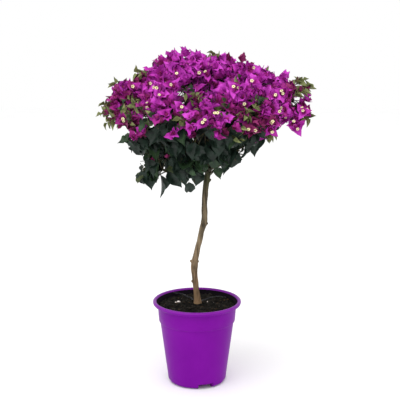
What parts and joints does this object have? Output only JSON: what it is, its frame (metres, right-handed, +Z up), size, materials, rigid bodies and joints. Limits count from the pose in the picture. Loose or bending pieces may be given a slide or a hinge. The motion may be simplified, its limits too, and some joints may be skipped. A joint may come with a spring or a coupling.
{
  "type": "potted bougainvillea",
  "caption": "Potted bougainvillea grown as a standard: bare crooked stem, broad dome of papery violet bracts over hanging dark leaves, tapered purple nursery pot with a rolled lip.",
  "frame": {"origin": "centre of the flat pad under the pot, on the ground plane", "axes": "+Z up along the pot's axis, -Y the side the picture shows, +X the side the stem and head lean to"},
  "size_m": [0.4319, 0.3977, 0.7208],
  "materials": {
    "pot": "semi-gloss moulded plastic",
    "soil": "damp peat compost",
    "bark": "rough grey-brown bark with fissures along the stem",
    "bract": "thin papery bract, matt",
    "leaf": "dark green leaf with a slight sheen"
  },
  "bodies": {
    "root": {"pot": "pot", "soil": "soil", "trunk": "bark", "bough_skirt_left": "bark", "bough_skirt_right": "bark", "bough_skirt_front": "bark", "bough_skirt_back": "bark", "bough_left": "bark", "bough_right": "bark", "bough_front": "bark", "bough_back_left": "bark", "bough_back_right": "bark", "bough_top_left": "bark", "bough_top_right": "bark", "bough_top": "bark", "bough_low_left": "bark", "bough_low_right": "bark", "bough_front_left": "bark", "bough_front_right": "bark", "bough_back": "bark", "bough_inner": "bark", "foliage_skirt_left": "leaf", "foliage_skirt_right": "leaf", "foliage_skirt_front": "leaf", "foliage_skirt_back": "leaf", "foliage_left": "bract", "foliage_right": "bract", "foliage_front": "bract", "foliage_back_left": "bract", "foliage_back_right": "bract", "foliage_top_left": "bract", "foliage_top_right": "bract", "foliage_top": "bract", "foliage_low_left": "bract", "foliage_low_right": "bract", "foliage_front_left": "bract", "foliage_front_right": "bract", "foliage_back": "bract", "foliage_inner": "leaf"}
  },
  "joints": []
}
